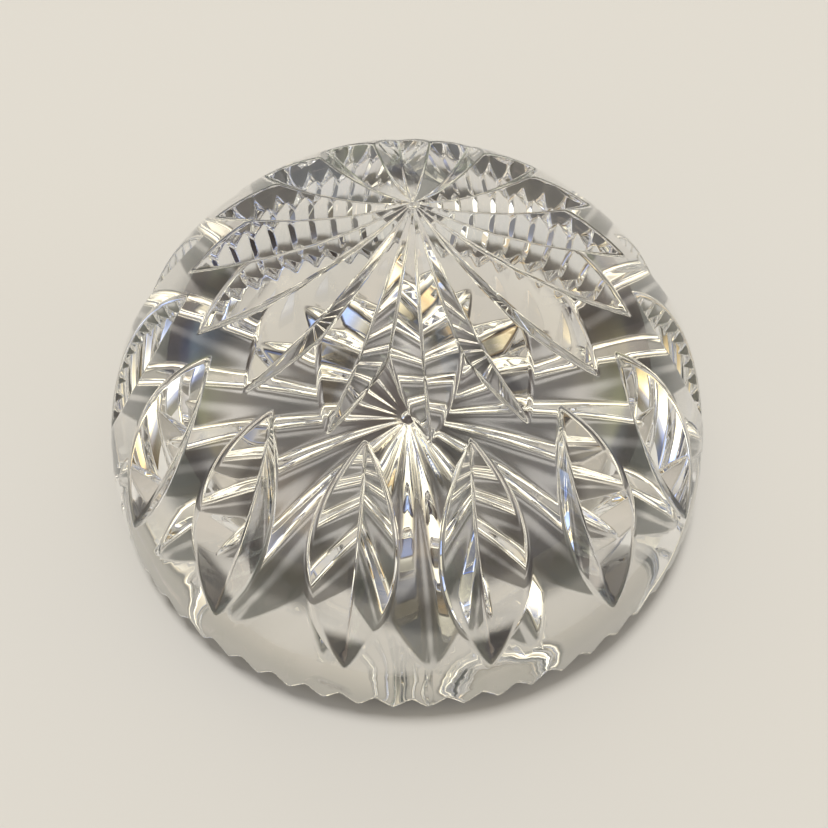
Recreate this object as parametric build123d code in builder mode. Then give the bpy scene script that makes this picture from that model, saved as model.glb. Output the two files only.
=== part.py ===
"""A solid cut-crystal dome paperweight, in millimetres: +Z up, origin at the centre of the flat base."""

from build123d import *

import os
from math import asin, cos, degrees, radians, sin, sqrt, tan

# The blank: a ball of clear crystal, ground off flat a little above its equator.
BALL_R = 50.0
BALL_CENTRE_Z = -2.6
BASE_R = sqrt(BALL_R**2 - BALL_CENTRE_Z**2)
TOP_Z = BALL_CENTRE_Z + BALL_R

# The dome's cuts are ground with one V-edged wheel whose rim dips into the ball.
DOME_WHEEL_R = 65.0

# Sixteen long rays meet at the pole. Angles are measured down from the pole.
STAR_RAYS = 16
STAR_TIP_ANGLE = 36.8
STAR_HALF_V = 49.0  # half the angle between a groove's two faces
STAR_TURN = 4.9  # degrees from -Y towards +X

# Sixteen leaf-shaped cuts stand in a ring below the rays.
LEAVES = 16
LEAF_TOP_ANGLE = 37.3
LEAF_BOTTOM_ANGLE = 72.4
LEAF_HALF_V = 54.0
LEAF_TURN = 13.5

# A second star is ground into the flat underside.
BASE_RAYS = 18
BASE_TIP_R = 37.0
BASE_WHEEL_R = 50.0
BASE_HALF_V = 60.0
BASE_TURN = 5.4

# The bottom corner is cut back all the way round by V grooves that meet in a ridge on each tooth.
# Depth is measured from the blank's corner, and tilt is how steeply a groove climbs.
TEETH = 64
NOTCH_DEPTH = 3.48
NOTCH_HALF_V = 53.0
NOTCH_TILT = 58.0
NOTCH_TURN = 1.35

# The rays run out in a small pit at the middle of each star.
POLE_PIT_R = 0.6
BASE_PIT_R = 0.8

# How far each cutter reaches past the crystal it takes away.
WHEEL_THICKNESS = 26.0
WHEEL_DEPTH = 20.0
CORE_R = 0.3
NOTCH_HEIGHT = NOTCH_DEPTH + 0.12
NOTCH_LENGTH = 14.0
NOTCH_SECTOR = 11.0
LEAF_SECTOR = 20.0


def mitre_wheel(rim_r, half_v):
    """The outer part of a V-edged wheel that turns about the X axis."""
    half = WHEEL_THICKNESS / 2
    shoulder_r = rim_r - half / tan(radians(half_v))
    inner_r = rim_r - WHEEL_DEPTH
    with BuildPart() as wheel:
        with BuildSketch(Plane.XY):
            with BuildLine():
                Polyline(
                    (0, rim_r),
                    (half, shoulder_r),
                    (half, inner_r),
                    (-half, inner_r),
                    (-half, shoulder_r),
                    (0, rim_r),
                )
            make_face()
        revolve(axis=Axis.X)
    return wheel.part


def sector(angle, inner_r, outer_r, low, high):
    """A slice of a pie about the Z axis, centred on -Y."""
    across = sin(radians(angle / 2))
    along = cos(radians(angle / 2))
    with BuildPart() as piece:
        with BuildSketch(Plane.XY.offset(low)):
            with BuildLine():
                Polyline(
                    (inner_r * across, -inner_r * along),
                    (outer_r * across, -outer_r * along),
                    (-outer_r * across, -outer_r * along),
                    (-inner_r * across, -inner_r * along),
                    (inner_r * across, -inner_r * along),
                )
            make_face()
        extrude(amount=high - low)
    return piece.part


def wheel_on_dome(top_angle, bottom_angle, half_v):
    """A wheel on the -Y side whose rim meets the ball at two angles below the pole."""
    middle = radians((top_angle + bottom_angle) / 2)
    spread = radians((bottom_angle - top_angle) / 2)
    reach = BALL_R * cos(spread) + sqrt(DOME_WHEEL_R**2 - (BALL_R * sin(spread)) ** 2)
    place = Pos(0, -reach * sin(middle), BALL_CENTRE_Z + reach * cos(middle))
    return place * mitre_wheel(DOME_WHEEL_R, half_v)


def wheel_under_base():
    """A wheel under the base whose rim runs from the middle of the base to a ray's tip."""
    half_run = BASE_TIP_R / 2
    place = Pos(0, -half_run, -sqrt(BASE_WHEEL_R**2 - half_run**2))
    return place * mitre_wheel(BASE_WHEEL_R, BASE_HALF_V)


def rim_notch():
    """A wedge across the bottom corner of the rim, on the -Y side."""
    tilt = radians(NOTCH_TILT)
    valley = (0, NOTCH_DEPTH * sin(tilt) - BASE_R, NOTCH_DEPTH * cos(tilt))
    along = (0, -cos(tilt), sin(tilt))
    flare = NOTCH_HEIGHT * tan(radians(NOTCH_HALF_V))
    with BuildPart() as wedge:
        with BuildSketch(Plane(origin=valley, x_dir=(1, 0, 0), z_dir=along)):
            with BuildLine():
                Polyline((0, 0), (-flare, -NOTCH_HEIGHT), (flare, -NOTCH_HEIGHT), (0, 0))
            make_face()
        extrude(amount=NOTCH_LENGTH / 2, both=True)
    return wedge.part & sector(NOTCH_SECTOR, 40, 60, -8, 12)


def around(cutter, count, turn):
    """Copies of a cutter, evenly spaced about the Z axis."""
    return [Rot(0, 0, turn + 360 / count * i) * cutter for i in range(count)]


def star(ray, count, turn):
    """Rays joined into one cutter. Each keeps to its own sector, so neighbours meet in a ridge."""
    with BuildPart() as joined:
        add(around(ray, count, turn))
    return joined.part


with BuildPart() as crystal_dome:
    with BuildSketch(Plane.XZ):
        with BuildLine():
            start_angle = degrees(asin(-BALL_CENTRE_Z / BALL_R))
            CenterArc((0, BALL_CENTRE_Z), BALL_R, start_angle, 90 - start_angle)
            Polyline((0, TOP_Z), (0, 0), (BASE_R, 0))
        make_face()
    revolve(axis=Axis.Z)

    # Every other notch is cut first, because neighbouring cutters overlap.
    notches = around(rim_notch(), TEETH, NOTCH_TURN)
    add(notches[::2], mode=Mode.SUBTRACT)
    add(notches[1::2], mode=Mode.SUBTRACT)

    with Locations((0, 0, TOP_Z)):
        Sphere(POLE_PIT_R, mode=Mode.SUBTRACT)
    with Locations((0, 0, 0)):
        Sphere(BASE_PIT_R, mode=Mode.SUBTRACT)

    star_sector = sector(360 / STAR_RAYS, CORE_R, 42, 30, 52)
    star_ray = wheel_on_dome(0, STAR_TIP_ANGLE, STAR_HALF_V) & star_sector
    add(star(star_ray, STAR_RAYS, STAR_TURN), mode=Mode.SUBTRACT)

    leaf_sector = sector(LEAF_SECTOR, 20, 60, 0, 50)
    leaf = wheel_on_dome(LEAF_TOP_ANGLE, LEAF_BOTTOM_ANGLE, LEAF_HALF_V) & leaf_sector
    add(around(leaf, LEAVES, LEAF_TURN), mode=Mode.SUBTRACT)

    base_ray = wheel_under_base() & sector(360 / BASE_RAYS, CORE_R, 42, -1, 5)
    add(star(base_ray, BASE_RAYS, BASE_TURN), mode=Mode.SUBTRACT)

crystal_dome.part.label = "crystal_dome"
os.makedirs("parts", exist_ok=True)
export_step(crystal_dome.part, "parts/crystal_dome.step")
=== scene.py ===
"""Cut-crystal dome paperweight: the visual model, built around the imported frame.

The crystal is one closed mesh. Its surface is where a smooth field is zero: a ball cut off flat,
minus V grooves, with every edge and valley a little rounded. The mesh is found along rays from a
point inside, with vertices placed on each edge and on both borders of its rounding.
"""
import math

import bmesh
import bpy
import numpy as np
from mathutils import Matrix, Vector


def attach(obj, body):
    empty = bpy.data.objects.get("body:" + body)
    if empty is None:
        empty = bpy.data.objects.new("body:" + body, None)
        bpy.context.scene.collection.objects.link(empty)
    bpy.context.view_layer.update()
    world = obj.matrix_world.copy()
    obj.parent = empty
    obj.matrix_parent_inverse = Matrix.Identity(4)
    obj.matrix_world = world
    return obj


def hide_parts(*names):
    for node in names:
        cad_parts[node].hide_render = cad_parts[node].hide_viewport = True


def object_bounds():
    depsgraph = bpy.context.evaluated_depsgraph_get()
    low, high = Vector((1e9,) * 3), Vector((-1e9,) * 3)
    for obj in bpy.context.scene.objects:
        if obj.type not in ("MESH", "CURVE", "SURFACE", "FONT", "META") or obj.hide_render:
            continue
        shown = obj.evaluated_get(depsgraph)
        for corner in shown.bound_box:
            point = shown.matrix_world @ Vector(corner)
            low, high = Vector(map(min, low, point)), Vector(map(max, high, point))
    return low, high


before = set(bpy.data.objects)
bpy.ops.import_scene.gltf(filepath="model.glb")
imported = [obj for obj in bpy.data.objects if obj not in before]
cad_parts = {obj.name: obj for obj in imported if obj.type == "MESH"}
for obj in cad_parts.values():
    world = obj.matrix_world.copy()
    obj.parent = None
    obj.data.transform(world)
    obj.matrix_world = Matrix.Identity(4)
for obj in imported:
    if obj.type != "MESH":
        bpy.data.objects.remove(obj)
cad_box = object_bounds()

MM = 0.001

# The cuts, in millimetres and degrees: the same numbers that drive the CAD part.
BALL_R = 50.0
BALL_CENTRE_Z = -2.6
DOME_WHEEL_R = 65.0
STAR_RAYS = 16
STAR_TIP_ANGLE = 36.8
STAR_HALF_V = 49.0
STAR_TURN = 4.9
LEAVES = 16
LEAF_TOP_ANGLE = 37.3
LEAF_BOTTOM_ANGLE = 72.4
LEAF_HALF_V = 54.0
LEAF_TURN = 13.5
BASE_RAYS = 18
BASE_TIP_R = 37.0
BASE_WHEEL_R = 50.0
BASE_HALF_V = 60.0
BASE_TURN = 5.4
TEETH = 64
NOTCH_DEPTH = 3.48
NOTCH_HALF_V = 53.0
NOTCH_TILT = 58.0
NOTCH_TURN = 1.35
POLE_PIT_R = 0.6
BASE_PIT_R = 0.8

# How the surface is finished, in millimetres. A ring of grooves has the size of the blend across
# its ridges and valleys, and how far from the axis that is full.
EDGE_ROUNDING = 0.25     # the blend round the flat and the pits
DOME_ROUNDING = (0.32, 6.0)
BASE_ROUNDING = (1.2, 14.0)
NOTCH_ROUNDING = (0.5, 6.0)
BASE_SHOULDER = 0.3      # the blend where the base star's rays meet the flat
LEAST_ROUNDING = 0.2     # the share of a rounding that is left at the axis
WAVE_HEIGHT = 0.025      # how far the polish wanders below the true surface
WAVE_LENGTHS = (6.0, 16.0)
WAVE_COUNT = 20
WAVE_SEED = 5

# How the surface is meshed. Lengths are in millimetres.
EYE_Z = 14.0             # the inner point that the rays start from
START_LEVEL = 7          # subdivisions of the first sphere of rays
CORNER_LEVELS = 3        # further cuts where several surfaces meet
AXIS_LEVELS = 2          # and still further ones this near the axis
AXIS_REACH = 4.0
SNAP = 0.2               # a vertex this near a crease, in parts of its edge, moves onto it
CREASE_HALVINGS = 18     # how often an edge is halved to find a crease on it
BORDER_HALVINGS = 8      # and to find the border of a rounding
WIDE_MIDDLE = 1.6        # an edge whose middle is this many roundings from a crease is halved
CLEAR_OF_BORDER = 1.2    # an edge has to run this many roundings out to cross a border
SETTLE_STEPS = 12        # steps onto the smooth surface, and the longest of them
LONGEST_STEP = 0.5
LEAST_SLOPE = 0.15       # the least slope along a ray that a step is worked out from
WIDEST_GROOVE = 14.0     # no groove reaches further than this to either side
FAR = 1.0e6
TINY = 1e-9

BASE_R = math.sqrt(BALL_R ** 2 - BALL_CENTRE_Z ** 2)
EYE = np.array((0, 0, EYE_Z))

# The crystal's look. Noise scales are per metre. Nicks and smears start where their noise passes
# the first number of their range, and are full at the second.
GLASS_IOR = 1.54
FILM_THICKNESS = 420.0         # in nanometres
FILM_IOR = 1.49
NICK_SCALE = 900.0
NICK_RANGE = (0.45, 0.7)
NICK_ROUGHNESS = 0.14
SMEAR_SCALE = 45.0
SMEAR_RANGE = (0.5, 0.75)
SMEAR_ROUGHNESS = 0.012
RIPPLE_SCALE = 420.0
RIPPLE_HEIGHT = 0.0000005      # in metres

# What the dome lets through to the floor, from 0, where light meets it head on, to 1, edge on.
LET_THROUGH = (
    (0.0, (1.0, 1.0, 1.0)),
    (0.07, (0.96, 0.96, 0.96)),
    (0.13, (0.49, 0.485, 0.485)),
    (0.35, (0.37, 0.365, 0.365)),
    (0.6, (0.54, 0.535, 0.535)),
    (0.8, (0.91, 0.90, 0.90)),
)
# What the base lets through, by distance from the axis in parts of the ball's radius. It is over 1
# where the dome gathers light.
GATHERED = (
    (0.0, (0.5, 0.5, 0.51)),
    (0.10, (0.6, 0.6, 0.6)),
    (0.18, (1.6, 1.59, 1.6)),
    (0.40, (1.9, 1.88, 1.86)),
    (0.45, (1.5, 1.5, 1.5)),
    (0.51, (0.6, 0.6, 0.61)),
    (0.57, (0.9, 0.9, 0.9)),
    (0.62, (2.75, 2.7, 2.58)),
    (0.73, (2.6, 2.56, 2.45)),
    (0.77, (0.28, 0.28, 0.29)),
    (0.86, (0.34, 0.34, 0.35)),
    (0.91, (0.55, 0.55, 0.55)),
    (1.0, (0.65, 0.65, 0.65)),
)
BASE_ZONE = (0.006, 0.008)     # heights in metres over which the base gives way to the dome
LEVEL_GLASS = (0.93, 0.98)     # how upright a normal is on the base star's slopes and on the flat
UNDER_SLOPES = 0.3             # the share of the gathered light that those slopes let through

# The floor, in metres.
FLOOR_HALF = 8.0
FLOOR_GAP = 0.00005            # how far it is below the crystal
FLOOR_COLOR = (0.60, 0.595, 0.58, 1.0)

# The studio's light by height: 0 is straight down, 0.5 the horizon and 1 straight up.
HEIGHT_STOPS = (
    (0.0, (0.06, 0.06, 0.06)),
    (0.50, (0.2, 0.197, 0.185)),
    (0.54, (0.18, 0.175, 0.175)),
    (0.575, (0.42, 0.45, 0.60)),
    (0.61, (1.85, 1.76, 1.42)),
    (0.67, (1.15, 1.10, 0.93)),
    (0.73, (0.64, 0.58, 0.46)),
    (0.79, (0.17, 0.16, 0.145)),
    (0.86, (0.31, 0.29, 0.26)),
    (0.92, (0.52, 0.48, 0.42)),
    (1.0, (0.58, 0.55, 0.49)),
)
# The soft panels round it: 0 is the left, 0.25 the front, 0.5 the right and 0.75 the back. Bright
# ones have a blue or an orange fringe, as if the crystal had split their light.
ROUND_STOPS = (
    (0.0, (1.5, 1.44, 1.18)),
    (0.045, (0.85, 0.68, 0.4)),
    (0.07, (0.1, 0.1, 0.1)),
    (0.12, (0.9, 0.72, 0.5)),
    (0.17, (1.3, 1.33, 1.42)),
    (0.26, (1.0, 0.98, 0.92)),
    (0.34, (0.11, 0.11, 0.11)),
    (0.43, (0.48, 0.6, 1.05)),
    (0.50, (1.5, 1.43, 1.15)),
    (0.55, (0.72, 0.56, 0.35)),
    (0.58, (0.12, 0.12, 0.12)),
    (0.67, (1.2, 1.17, 1.08)),
    (0.76, (1.0, 0.98, 0.93)),
    (0.85, (1.25, 1.22, 1.1)),
    (0.91, (0.11, 0.11, 0.11)),
    (0.955, (0.45, 0.62, 1.2)),
    (1.0, (1.5, 1.44, 1.18)),
)
PANELS_FADE = (0.75, 0.98)     # the Z of the directions over which the panels fade out
STUDIO_STRENGTH = 1.15
BACKDROP_COLOR = (0.75, 0.71, 0.63, 1.0)
LAMP_PLACE = (-0.12, 0.25, 1.25)
LAMP_ANGLE = 15.6              # how broad it looks, in degrees
LAMP_STRENGTH = 2.33
LAMP_COLOR = (1.0, 0.97, 0.92)

# The photograph's viewing angle: from the front, steeply down and close by.
CAMERA_PLACE = (0.0, -0.0746176, 0.10258)
CAMERA_TURN = (36.7748, -1.0445, 0.6483)     # degrees about X, Y and Z, from looking straight down
CAMERA_LENS = 30.595           # in millimetres, on a sensor this wide
SENSOR_WIDTH = 36.0


class Groove:
    """One V groove, in a frame where it lies over the -Y axis and is the same on both sides."""

    def __init__(self, count, turn, half_v, rounding, shoulder=None):
        self.count = count
        self.rounding, self.full_r = rounding
        self.shoulder = shoulder or self.rounding
        self.turn = math.radians(turn)
        self.pitch = 2 * math.pi / count
        self.sin = math.sin(math.radians(half_v))
        self.cos = math.cos(math.radians(half_v))


class WheelCut(Groove):
    """A groove left by a V-edged wheel, its centre at a radius and height over the -Y axis."""

    def __init__(self, count, turn, half_v, rounding, centre_r, centre_z, radius, shoulder=None):
        super().__init__(count, turn, half_v, rounding, shoulder)
        self.centre_y = -centre_r
        self.centre_z = centre_z
        self.radius = radius

    def reach(self, u):
        """How far each ray goes before it meets the groove."""
        cot = self.cos / self.sin
        side = np.abs(u[:, 0])
        eye_y = -self.centre_y
        eye_z = EYE_Z - self.centre_z
        a = 1 - side ** 2 - (cot * side) ** 2
        b = u[:, 1] * eye_y + u[:, 2] * eye_z + cot * side * self.radius
        c = eye_y ** 2 + eye_z ** 2 - self.radius ** 2
        d = b * b - a * c
        t = (-b - np.sqrt(np.maximum(d, 0))) / np.where(a > 0, a, 1)
        good = (d > 0) & (a > 0) & (t > 0)
        good &= (self.radius > cot * side * t) & (side * t < WIDEST_GROOVE)
        return np.where(good, t, FAR)

    def depth(self, x):
        """How deep each point is inside the wheel's rim, and the slope of that in Y and Z."""
        dy = x[:, 1] - self.centre_y
        dz = x[:, 2] - self.centre_z
        r = np.hypot(dy, dz)
        return self.radius - r, -dy / r, -dz / r


class FluteCut(Groove):
    """A straight V groove across the corner of the rim."""

    def __init__(self, count, turn, half_v, rounding, tilt, depth):
        super().__init__(count, turn, half_v, rounding)
        self.dir_y = -math.sin(math.radians(tilt))
        self.dir_z = -math.cos(math.radians(tilt))
        self.floor = -BASE_R * self.dir_y - depth

    def reach(self, u):
        """How far each ray goes before it meets the groove."""
        outward = u[:, 1] * self.dir_y + u[:, 2] * self.dir_z
        ahead = outward * self.sin - np.abs(u[:, 0]) * self.cos
        gap = (self.floor - EYE_Z * self.dir_z) * self.sin
        return np.where(ahead > TINY, gap / np.where(ahead > TINY, ahead, 1), FAR)

    def depth(self, x):
        """How far each point is past the groove's bottom line, and the slope of that in Y and Z."""
        ones = np.ones(len(x))
        value = x[:, 1] * self.dir_y + x[:, 2] * self.dir_z - self.floor
        return value, self.dir_y * ones, self.dir_z * ones


def wheel_on_ball(count, turn, half_v, top, bottom):
    """A wheel whose cut runs between two angles from the pole."""
    middle = math.radians((top + bottom) / 2)
    spread = math.radians((bottom - top) / 2)
    reach = BALL_R * math.cos(spread)
    reach += math.sqrt(DOME_WHEEL_R ** 2 - (BALL_R * math.sin(spread)) ** 2)
    centre_r = reach * math.sin(middle)
    centre_z = BALL_CENTRE_Z + reach * math.cos(middle)
    return WheelCut(count, turn, half_v, DOME_ROUNDING, centre_r, centre_z, DOME_WHEEL_R)


def wheel_under_base():
    """A wheel whose cut runs from the middle of the base to the tip of a ray."""
    half = BASE_TIP_R / 2
    centre_z = -math.sqrt(BASE_WHEEL_R ** 2 - half ** 2)
    place = (half, centre_z, BASE_WHEEL_R)
    return WheelCut(BASE_RAYS, BASE_TURN, BASE_HALF_V, BASE_ROUNDING, *place, BASE_SHOULDER)


RINGS = (
    wheel_on_ball(STAR_RAYS, STAR_TURN, STAR_HALF_V, 0.0, STAR_TIP_ANGLE),
    wheel_on_ball(LEAVES, LEAF_TURN, LEAF_HALF_V, LEAF_TOP_ANGLE, LEAF_BOTTOM_ANGLE),
    wheel_under_base(),
    FluteCut(TEETH, NOTCH_TURN, NOTCH_HALF_V, NOTCH_ROUNDING, NOTCH_TILT, NOTCH_DEPTH),
)
PITS = ((BALL_CENTRE_Z + BALL_R, POLE_PIT_R), (0.0, BASE_PIT_R))


def unit(v):
    """Vectors made one long."""
    return v / np.linalg.norm(v, axis=-1, keepdims=True)


def turned(x, angle):
    """Points turned about Z by minus the angle, which is one number per point."""
    c, s = np.cos(angle), np.sin(angle)
    return np.stack((c * x[:, 0] + s * x[:, 1], c * x[:, 1] - s * x[:, 0], x[:, 2]), axis=1)


def nearest(ring, x):
    """Which groove of a ring each point is nearest to."""
    azimuth = np.arctan2(x[:, 0], -x[:, 1])
    return np.round((azimuth - ring.turn) / ring.pitch)


def sharp(u):
    """How far each ray goes before it leaves the glass, and the name of the surface it meets."""
    down = BALL_CENTRE_Z - EYE_Z
    b = -u[:, 2] * down
    best = -b + np.sqrt(b * b - down * down + BALL_R ** 2)
    name = np.zeros(len(u), int)

    def meet(t, label):
        """Keeps the surface where it is nearer than those before it."""
        nonlocal best, name
        closer = t < best
        best = np.where(closer, t, best)
        name = np.where(closer, label, name)

    meet(np.where(u[:, 2] < -TINY, -EYE_Z / np.minimum(u[:, 2], -TINY), FAR), 1)
    first = 2
    for z, radius in PITS:
        b = u[:, 2] * (EYE_Z - z)
        d = b * b - (EYE_Z - z) ** 2 + radius ** 2
        meet(np.where((d > 0) & (b < 0), -b - np.sqrt(np.maximum(d, 0)), FAR), first)
        first += 1
    for ring in RINGS:
        own = nearest(ring, u)
        for step in (0, -1, 1):
            local = turned(u, ring.turn + ring.pitch * (own + step))
            index = np.mod(own + step, ring.count).astype(int)
            meet(ring.reach(local), first + 2 * index + (local[:, 0] > 0))
        first += 2 * ring.count
    return best, name


class Blend:
    """The running smooth maximum of several fields, and how near each point is to an edge."""

    def __init__(self, value, slope, gap=FAR):
        self.value = value
        self.slope = slope
        self.top = value.copy()
        self.gap = np.broadcast_to(gap, value.shape)

    def add(self, value, slope, rounding=EDGE_ROUNDING, own_gap=FAR):
        """Joins one more field on. The gap is in parts of the rounding of the edge it leads to."""
        share = np.maximum(0, 1 - np.abs(value - self.value) / rounding) / 2
        self.value = np.maximum(self.value, value) + rounding * share ** 2
        share = np.where(value > self.top, 1 - share, share)[:, None]
        self.slope = self.slope * (1 - share) + slope * share
        wins = value > self.top
        apart = np.abs(value - self.top) / rounding
        self.gap = np.where(wins, np.minimum(own_gap / rounding, apart), np.minimum(self.gap, apart))
        self.top = np.maximum(self.top, value)


def cuts_of(ring, x, full):
    """The blend of a ring's grooves that are near each point."""
    own = nearest(ring, x)
    rounding = ring.rounding * full
    cuts = None
    for step in (0, -1, 1):
        angle = ring.turn + ring.pitch * (own + step)
        local = turned(x, angle)
        depth, slope_y, slope_z = ring.depth(local)
        side = np.abs(local[:, 0])
        gap = 2 * ring.cos * side
        share = np.maximum(0, 1 - gap / rounding)
        value = depth * ring.sin - side * ring.cos - rounding / 4 * share ** 2
        slope_x = -ring.cos * np.sign(local[:, 0]) * (1 - share)
        slope = np.stack((slope_x, slope_y * ring.sin, slope_z * ring.sin), axis=1)
        if cuts is None:
            cuts = Blend(value, turned(slope, -angle), gap / rounding)
        else:
            cuts.add(value, turned(slope, -angle), rounding, gap)
    return cuts


def field(x):
    """The smooth field, its slope, and the distance to the nearest edge, at each point."""
    arm = x - np.array((0, 0, BALL_CENTRE_Z))
    r = np.linalg.norm(arm, axis=1)
    blend = Blend(r - BALL_R, arm / r[:, None])
    blend.add(-x[:, 2], np.broadcast_to(np.array((0, 0, -1.0)), x.shape))
    out = np.hypot(x[:, 0], x[:, 1])
    for ring in RINGS:
        full = np.clip(out / ring.full_r, LEAST_ROUNDING, 1)
        cuts = cuts_of(ring, x, full)
        shoulder = ring.shoulder * full
        blend.add(cuts.value, cuts.slope, shoulder, cuts.gap * shoulder)
    for z, radius in PITS:
        arm = x - np.array((0, 0, z))
        r = np.maximum(np.linalg.norm(arm, axis=1), TINY)
        blend.add(radius - r, -arm / r[:, None])
    return blend


def waves():
    """Directions, phases and weights of the long, shallow waves that hand polishing leaves."""
    rng = np.random.default_rng(WAVE_SEED)
    lengths = rng.uniform(WAVE_LENGTHS[0], WAVE_LENGTHS[1], WAVE_COUNT)
    directions = unit(rng.normal(size=(WAVE_COUNT, 3))) * (2 * math.pi / lengths)[:, None]
    return directions, rng.uniform(0, 2 * math.pi, WAVE_COUNT), lengths / lengths.sum()


def wander(x, directions, phases, weights):
    """The depth of the waves at each point, never negative, and its slope."""
    turn = x @ directions.T + phases
    depth = WAVE_HEIGHT * (1 + np.sin(turn) @ weights)
    return depth, WAVE_HEIGHT * (np.cos(turn) * weights) @ directions


def settle(u, r):
    """Moves each point along its ray onto the smooth surface. Returns places and normals."""
    polish = waves()
    for _ in range(SETTLE_STEPS):
        x = EYE + u * r[:, None]
        blend = field(x)
        depth, tilt = wander(x, *polish)
        slope = blend.slope + tilt
        along = np.maximum((slope * u).sum(axis=1), LEAST_SLOPE)
        r = r - np.clip((blend.value + depth) / along, -LONGEST_STEP, LONGEST_STEP)
    x = EYE + u * r[:, None]
    return x, unit(field(x).slope + wander(x, *polish)[1])


def start_sphere(level):
    """The first rays, evenly spread, and the faces between them."""
    bm = bmesh.new()
    bmesh.ops.create_icosphere(bm, subdivisions=level, radius=1.0)
    rays = np.array([v.co[:] for v in bm.verts], float)
    faces = np.array([[v.index for v in f.verts] for f in bm.faces])
    bm.free()
    return unit(rays), faces


def edges_of(faces):
    """Every edge once, and for each face the edges 0-1, 1-2 and 2-0."""
    pairs = np.sort(np.concatenate((faces[:, [0, 1]], faces[:, [1, 2]], faces[:, [2, 0]])), axis=1)
    size = faces.max() + 1
    keys, inverse = np.unique(pairs[:, 0] * size + pairs[:, 1], return_inverse=True)
    return np.stack((keys // size, keys % size), axis=1), inverse.reshape(3, -1).T


def cut(faces, face_edges, on_edge, x):
    """Cuts faces at the vertices given on their edges, or -1 where an edge stays whole."""
    middle = on_edge[face_edges]
    count = (middle >= 0).sum(axis=1)
    out = [faces[count == 0]]
    for k in range(3):
        pick = (count == 1) & (middle[:, k] >= 0)
        a, b, c = (faces[pick, (k + j) % 3] for j in range(3))
        m = middle[pick, k]
        out += [np.stack((a, m, c), axis=1), np.stack((m, b, c), axis=1)]
        pick = (count == 2) & (middle[:, k] < 0)
        a, b, c = (faces[pick, (k + j) % 3] for j in range(3))
        p, q = middle[pick, (k + 1) % 3], middle[pick, (k + 2) % 3]
        short = np.linalg.norm(x[a] - x[p], axis=1) < np.linalg.norm(x[b] - x[q], axis=1)
        out += [np.stack((p, c, q), axis=1),
                np.stack((a, b, np.where(short, p, q)), axis=1),
                np.stack((np.where(short, a, b), p, q), axis=1)]
    pick = count == 3
    a, b, c = faces[pick].T
    ab, bc, ca = middle[pick].T
    out += [np.stack(t, axis=1) for t in ((a, ab, ca), (ab, b, bc), (ca, bc, c), (ab, bc, ca))]
    return np.concatenate(out)


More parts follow.
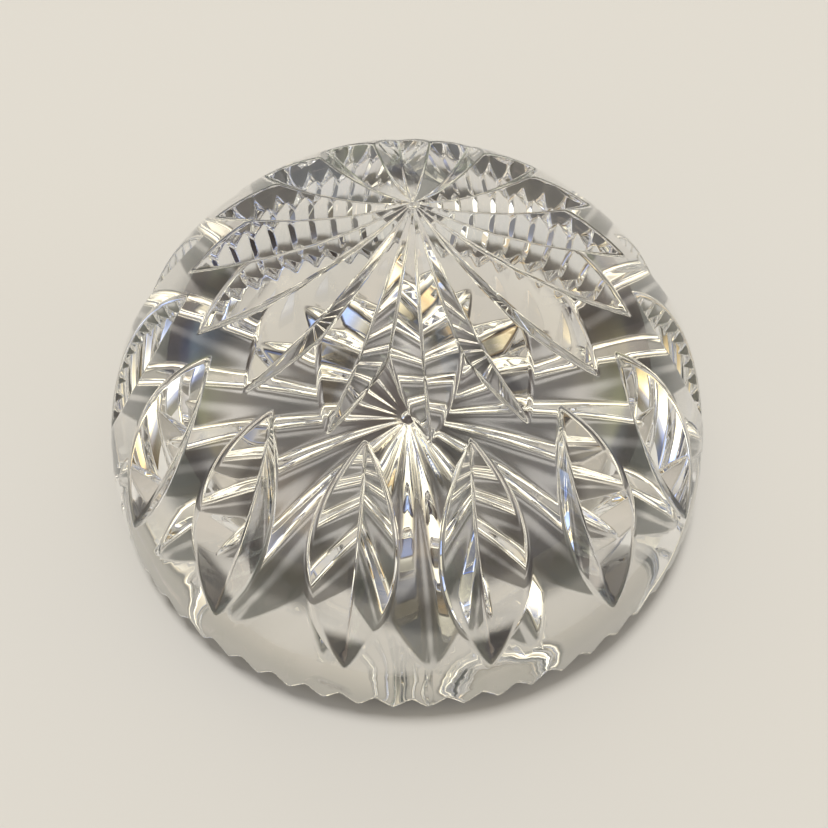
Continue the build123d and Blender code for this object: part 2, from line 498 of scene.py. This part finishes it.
class Rays:
    """The mesh while it grows: one ray per vertex, with its sharp reach and surface name."""

    def __init__(self, level):
        self.u, self.faces = start_sphere(level)
        self.r, self.name = sharp(self.u)
        self.on_crease = np.zeros(len(self.u), bool)

    def between(self, edges, share):
        """New rays at a share of the way along each edge."""
        share = np.asarray(share)[..., None]
        return unit(self.u[edges[:, 0]] * (1 - share) + self.u[edges[:, 1]] * share)

    def places(self):
        """Where each ray leaves the sharp shape."""
        return EYE + self.u * self.r[:, None]

    def insert(self, face_edges, chosen, new_u, crease=False):
        """Puts a vertex on each chosen edge, and cuts the faces there."""
        on_edge = np.full(len(chosen), -1)
        on_edge[chosen] = len(self.u) + np.arange(chosen.sum())
        r, name = sharp(new_u)
        self.u = np.concatenate((self.u, new_u))
        self.r = np.concatenate((self.r, r))
        self.name = np.concatenate((self.name, name))
        self.on_crease = np.concatenate((self.on_crease, np.full(len(new_u), crease)))
        self.faces = cut(self.faces, face_edges, on_edge, self.places())

    def tangled(self, picked):
        """The picked faces in which surfaces change more often than one cut could follow."""
        faces = self.faces[picked]
        edges, face_edges = edges_of(faces)
        names = [self.name[edges[:, 0]]]
        names += [sharp(self.between(edges, s))[1] for s in (0.25, 0.5, 0.75)]
        names.append(self.name[edges[:, 1]])
        changes = sum((p != q).astype(int) for p, q in zip(names, names[1:]))
        a, b, c = self.name[faces].T
        bad = (changes > 1)[face_edges].any(axis=1) | ((a != b) & (b != c) & (c != a))
        marked = np.zeros(len(self.faces), bool)
        marked[np.flatnonzero(picked)[bad]] = True
        return marked

    def refine(self):
        """Halves the edges of tangled faces, level by level."""
        fresh = np.ones(len(self.faces), bool)
        for level in range(CORNER_LEVELS + AXIS_LEVELS):
            if level >= CORNER_LEVELS:
                middle = self.places()[self.faces].mean(axis=1)
                fresh &= np.hypot(middle[:, 0], middle[:, 1]) < AXIS_REACH
            marked = self.tangled(fresh)
            edges, face_edges = edges_of(self.faces)
            chosen = np.zeros(len(edges), bool)
            chosen[face_edges[marked].ravel()] = True
            while True:
                two = chosen[face_edges].sum(axis=1) == 2
                if not two.any():
                    break
                chosen[face_edges[two].ravel()] = True
            known = len(self.u)
            self.insert(face_edges, chosen, self.between(edges[chosen], 0.5))
            fresh = (self.faces >= known).any(axis=1)

    def crossing(self, edges, halvings, holds):
        """The last known share along each edge where a test of its ray holds, and the next."""
        low, high = np.zeros(len(edges)), np.ones(len(edges))
        for _ in range(halvings):
            middle = (low + high) / 2
            good = holds(self.between(edges, middle))
            low, high = np.where(good, middle, low), np.where(good, high, middle)
        return low, high

    def follow_creases(self):
        """Puts a vertex wherever an edge crosses a crease, or moves a near one onto it."""
        edges, face_edges = edges_of(self.faces)
        mixed = self.name[edges[:, 0]] != self.name[edges[:, 1]]
        pairs = edges[mixed]
        start = self.name[pairs[:, 0]]
        low, high = self.crossing(pairs, CREASE_HALVINGS, lambda u: sharp(u)[1] == start)
        share = (low + high) / 2
        new_u = self.between(pairs, share)
        nearness = np.minimum(share, 1 - share)
        vertex = np.where(share < 0.5, pairs[:, 0], pairs[:, 1])
        order = np.argsort(-nearness)
        order = order[nearness[order] < SNAP]
        moved_to = np.full(len(self.u), -1)
        moved_to[vertex[order]] = order
        snapped = moved_to >= 0
        self.u[snapped] = new_u[moved_to[snapped]]
        self.r[snapped] = sharp(self.u[snapped])[0]
        self.on_crease |= snapped
        stays = ~snapped[pairs].any(axis=1)
        chosen = np.zeros(len(edges), bool)
        chosen[np.flatnonzero(mixed)[stays]] = True
        self.insert(face_edges, chosen, new_u[stays], crease=True)

    def gap(self, u):
        """How far the sharp surface on each ray is from an edge, in parts of its rounding."""
        return field(EYE + u * sharp(u)[0][:, None]).gap

    def border_roundings(self):
        """Puts vertices on the borders of every rounded edge, after parting narrow facets."""
        near = np.where(self.on_crease, 0.0, self.gap(self.u))
        edges, face_edges = edges_of(self.faces)
        narrow = (near[edges] < 1).all(axis=1)
        wide = np.zeros(len(edges), bool)
        wide[narrow] = self.gap(self.between(edges[narrow], 0.5)) > WIDE_MIDDLE
        self.insert(face_edges, wide, self.between(edges[wide], 0.5))
        near = np.concatenate((near, self.gap(self.u[len(near):])))
        edges, face_edges = edges_of(self.faces)
        inside = near[edges] < 1
        crosses = inside[:, 0] != inside[:, 1]
        crosses &= near[edges].max(axis=1) > CLEAR_OF_BORDER
        pairs = np.where(inside[crosses][:, :1], edges[crosses], edges[crosses][:, ::-1])
        outer = self.crossing(pairs, BORDER_HALVINGS, lambda u: self.gap(u) < 1)[1]
        self.insert(face_edges, crosses, self.between(pairs, outer))


def crystal_mesh():
    """Grows the mesh and settles it on the smooth surface. Returns places, normals, faces, wear."""
    rays = Rays(START_LEVEL)
    rays.refine()
    rays.follow_creases()
    rays.border_roundings()
    x, normals = settle(rays.u, rays.r)
    wear = np.clip(1 - field(x).gap, 0, 1)
    return x, normals, rays.faces, wear


def put_in_scene(name, data):
    """A new object in the scene."""
    made = bpy.data.objects.new(name, data)
    bpy.context.scene.collection.objects.link(made)
    return made


def crystal_piece():
    """The crystal as one object, with its own normals and the wear of its edges."""
    x, normals, faces, wear = crystal_mesh()
    mesh = bpy.data.meshes.new("cut_crystal_dome")
    mesh.from_pydata((x * MM).tolist(), [], faces.tolist())
    mesh.polygons.foreach_set("use_smooth", np.ones(len(faces), bool))
    mesh.attributes.new("edge_wear", "FLOAT", "POINT").data.foreach_set("value", wear)
    mesh.normals_split_custom_set_from_vertices(normals.tolist())
    return put_in_scene("cut_crystal_dome", mesh)


def color_ramp(nodes, stops, mode="EASE"):
    """A colour ramp from (place, colour) stops."""
    ramp = nodes.new("ShaderNodeValToRGB")
    ramp.color_ramp.interpolation = mode
    elements = ramp.color_ramp.elements
    while len(elements) < len(stops):
        elements.new(0.5)
    for element, (place, color) in zip(elements, stops):
        element.position = place
        element.color = (*color, 1.0)
    return ramp


def material(name):
    """A new material, its nodes, its links and its main shader."""
    made = bpy.data.materials.new(name)
    made.use_nodes = True
    return made, made.node_tree.nodes, made.node_tree.links, made.node_tree.nodes["Principled BSDF"]


def noise(nodes, links, where, scale, detail):
    """The value of a noise texture."""
    made = nodes.new("ShaderNodeTexNoise")
    made.inputs["Scale"].default_value = scale
    made.inputs["Detail"].default_value = detail
    links.new(where, made.inputs["Vector"])
    return made.outputs["Fac"]


def maths(nodes, links, operation, first, second):
    """A Math node on two sockets or numbers."""
    made = nodes.new("ShaderNodeMath")
    made.operation = operation
    for socket, value in zip(made.inputs, (first, second)):
        if isinstance(value, float):
            socket.default_value = value
        else:
            links.new(value, socket)
    return made.outputs[0]


def map_range(nodes, links, value, low, high, bottom=0.0, top=1.0):
    """A value between low and high, mapped to between bottom and top."""
    made = nodes.new("ShaderNodeMapRange")
    made.inputs["From Min"].default_value = low
    made.inputs["From Max"].default_value = high
    made.inputs["To Min"].default_value = bottom
    made.inputs["To Max"].default_value = top
    links.new(value, made.inputs["Value"])
    return made.outputs["Result"]


def height_of(nodes, links, vector):
    """The Z of a vector socket."""
    split = nodes.new("ShaderNodeSeparateXYZ")
    links.new(vector, split.inputs[0])
    return split.outputs["Z"]


def mixed_color(nodes, links, blend, factor, first, second):
    """Two colours mixed by a factor."""
    made = nodes.new("ShaderNodeMix")
    made.data_type = "RGBA"
    made.blend_type = blend
    links.new(factor, made.inputs["Factor"])
    links.new(first, made.inputs["A"])
    links.new(second, made.inputs["B"])
    return made.outputs["Result"]


def for_one_ray(nodes, links, kind, usual, special):
    """The usual shader, and a special one for one kind of ray."""
    paths = nodes.new("ShaderNodeLightPath")
    made = nodes.new("ShaderNodeMixShader")
    links.new(paths.outputs[kind], made.inputs["Fac"])
    links.new(usual, made.inputs[1])
    links.new(special, made.inputs[2])
    return made.outputs["Shader"]


def spots(nodes, links, where, scale, detail, low, high):
    """Blotches of a noise: 0 where it is under low, and 1 where it is over high."""
    ramp = color_ramp(nodes, ((low, (0.0,) * 3), (high, (1.0,) * 3)), "LINEAR")
    links.new(noise(nodes, links, where, scale, detail), ramp.inputs["Fac"])
    return ramp.outputs["Color"]


def worn_roughness(nodes, links, where):
    """Nicks along the worn edges, and faint smears all over."""
    wear = nodes.new("ShaderNodeAttribute")
    wear.attribute_name = "edge_wear"
    nicks = spots(nodes, links, where, NICK_SCALE, 4.0, *NICK_RANGE)
    worn = maths(nodes, links, "MULTIPLY", wear.outputs["Fac"], nicks)
    smears = spots(nodes, links, where, SMEAR_SCALE, 5.0, *SMEAR_RANGE)
    haze = maths(nodes, links, "MULTIPLY", smears, SMEAR_ROUGHNESS)
    edges = maths(nodes, links, "MULTIPLY", worn, NICK_ROUGHNESS)
    return maths(nodes, links, "ADD", haze, edges)


def ripple(nodes, links, where):
    """The fine ripple of hand polishing."""
    made = nodes.new("ShaderNodeBump")
    made.inputs["Strength"].default_value = 1.0
    made.inputs["Distance"].default_value = RIPPLE_HEIGHT
    links.new(noise(nodes, links, where, RIPPLE_SCALE, 1.0), made.inputs["Height"])
    return made.outputs["Normal"]


def dome_tint(nodes, links):
    """The shadow's tint where light crosses the dome, by how steeply it meets the glass."""
    facing = nodes.new("ShaderNodeLayerWeight")
    facing.inputs["Blend"].default_value = 0.5
    through = color_ramp(nodes, LET_THROUGH, "LINEAR")
    links.new(facing.outputs["Facing"], through.inputs["Fac"])
    return through.outputs["Color"]


def base_tint(nodes, links, coords):
    """The shadow's tint where light crosses the base: rings round the axis, darker on slopes."""
    flat = nodes.new("ShaderNodeVectorMath")
    flat.operation = "MULTIPLY"
    flat.inputs[1].default_value = (1.0, 1.0, 0.0)
    links.new(coords.outputs["Object"], flat.inputs[0])
    span = nodes.new("ShaderNodeVectorMath")
    span.operation = "LENGTH"
    links.new(flat.outputs["Vector"], span.inputs[0])
    rings = color_ramp(nodes, GATHERED)
    parts = maths(nodes, links, "MULTIPLY", span.outputs["Value"], 1 / (BALL_R * MM))
    links.new(parts, rings.inputs["Fac"])
    tilt = height_of(nodes, links, coords.outputs["Normal"])
    upright = maths(nodes, links, "ABSOLUTE", tilt, 0.0)
    under = nodes.new("ShaderNodeVectorMath")
    under.operation = "SCALE"
    links.new(rings.outputs["Color"], under.inputs[0])
    share = map_range(nodes, links, upright, *LEVEL_GLASS, UNDER_SLOPES)
    links.new(share, under.inputs["Scale"])
    return under.outputs["Vector"]


def crystal_material():
    """Polished lead crystal, with worn edges, faint smears and the fine ripple of hand polishing.

    Real crystal gathers light on what it stands on. Here its shadow's tint stands in for that.
    """
    made, nodes, links, glass = material("clear_crystal")
    glass.inputs["Base Color"].default_value = (1.0, 1.0, 1.0, 1.0)
    glass.inputs["IOR"].default_value = GLASS_IOR
    glass.inputs["Transmission Weight"].default_value = 1.0
    glass.inputs["Thin Film Thickness"].default_value = FILM_THICKNESS
    glass.inputs["Thin Film IOR"].default_value = FILM_IOR
    coords = nodes.new("ShaderNodeTexCoord")
    where = coords.outputs["Object"]
    links.new(worn_roughness(nodes, links, where), glass.inputs["Roughness"])
    links.new(ripple(nodes, links, where), glass.inputs["Normal"])

    base_top, dome_bottom = BASE_ZONE
    on_base = map_range(nodes, links, height_of(nodes, links, where), dome_bottom, base_top)
    tints = (dome_tint(nodes, links), base_tint(nodes, links, coords))
    clear = nodes.new("ShaderNodeBsdfTransparent")
    links.new(mixed_color(nodes, links, "MIX", on_base, *tints), clear.inputs["Color"])
    shaders = (glass.outputs["BSDF"], clear.outputs["BSDF"])
    crystal = for_one_ray(nodes, links, "Is Shadow Ray", *shaders)
    links.new(crystal, nodes["Material Output"].inputs["Surface"])
    return made


def floor_piece():
    """The plain pale floor, just under the crystal."""
    half = FLOOR_HALF
    low = cad_box[0][2] - FLOOR_GAP
    corners = [(-half, -half, low), (half, -half, low), (half, half, low), (-half, half, low)]
    mesh = bpy.data.meshes.new("floor")
    mesh.from_pydata(corners, [], [(0, 1, 2, 3)])
    made, nodes, links, paper = material("pale_floor")
    paper.inputs["Base Color"].default_value = FLOOR_COLOR
    paper.inputs["Roughness"].default_value = 0.9
    paper.inputs["Specular IOR Level"].default_value = 0.1
    mesh.materials.append(made)
    return put_in_scene("floor", mesh)


def studio_light(nodes, links):
    """The studio's colour in each direction: its light by height, times the panels round it."""
    where = nodes.new("ShaderNodeTexCoord").outputs["Generated"]
    upward = height_of(nodes, links, where)
    by_height = color_ramp(nodes, HEIGHT_STOPS)
    links.new(map_range(nodes, links, upward, -1.0, 1.0), by_height.inputs["Fac"])
    around = nodes.new("ShaderNodeTexGradient")
    around.gradient_type = "RADIAL"
    links.new(where, around.inputs["Vector"])
    panels = color_ramp(nodes, ROUND_STOPS)
    links.new(around.outputs["Fac"], panels.inputs["Fac"])
    fade = map_range(nodes, links, upward, *PANELS_FADE, 1.0, 0.0)
    colors = (by_height.outputs["Color"], panels.outputs["Color"])
    return mixed_color(nodes, links, "MULTIPLY", fade, *colors)


def studio():
    """A soft studio as a plain world. The camera itself sees a plain backdrop instead."""
    world = bpy.data.worlds.new("studio")
    bpy.context.scene.world = world
    world.use_nodes = True
    nodes, links = world.node_tree.nodes, world.node_tree.links
    background = nodes["Background"]
    links.new(studio_light(nodes, links), background.inputs["Color"])
    background.inputs["Strength"].default_value = STUDIO_STRENGTH
    backdrop = nodes.new("ShaderNodeBackground")
    backdrop.inputs["Color"].default_value = BACKDROP_COLOR
    shaders = (background.outputs["Background"], backdrop.outputs["Background"])
    surroundings = for_one_ray(nodes, links, "Is Camera Ray", *shaders)
    links.new(surroundings, nodes["World Output"].inputs["Surface"])


def overhead_lamp():
    """A broad lamp, as far off as the sun. It lights the floor, and isn't seen in the crystal."""
    lamp = bpy.data.lights.new("overhead", "SUN")
    lamp.angle = math.radians(LAMP_ANGLE)
    lamp.energy = LAMP_STRENGTH
    lamp.color = LAMP_COLOR
    over = put_in_scene("overhead", lamp)
    over.location = LAMP_PLACE
    over.rotation_euler = Vector(LAMP_PLACE).to_track_quat("Z", "Y").to_euler()
    over.visible_glossy = False
    over.visible_transmission = False


def camera():
    """The camera, close above and in front of the crystal."""
    data = bpy.data.cameras.new("camera")
    data.lens = CAMERA_LENS
    data.sensor_width = SENSOR_WIDTH
    data.clip_start = 0.001
    made = put_in_scene("camera", data)
    made.location = CAMERA_PLACE
    made.rotation_euler = [math.radians(angle) for angle in CAMERA_TURN]
    bpy.context.scene.camera = made


crystal = crystal_piece()
crystal.data.materials.append(crystal_material())
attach(crystal, "root")
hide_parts("crystal_dome")
floor_piece()
studio()
overhead_lamp()
camera()

light_paths = bpy.context.scene.cycles
light_paths.max_bounces = 32
light_paths.transmission_bounces = 32
light_paths.glossy_bounces = 16
light_paths.caustics_refractive = False
light_paths.caustics_reflective = False
bpy.context.scene.view_settings.view_transform = "Standard"
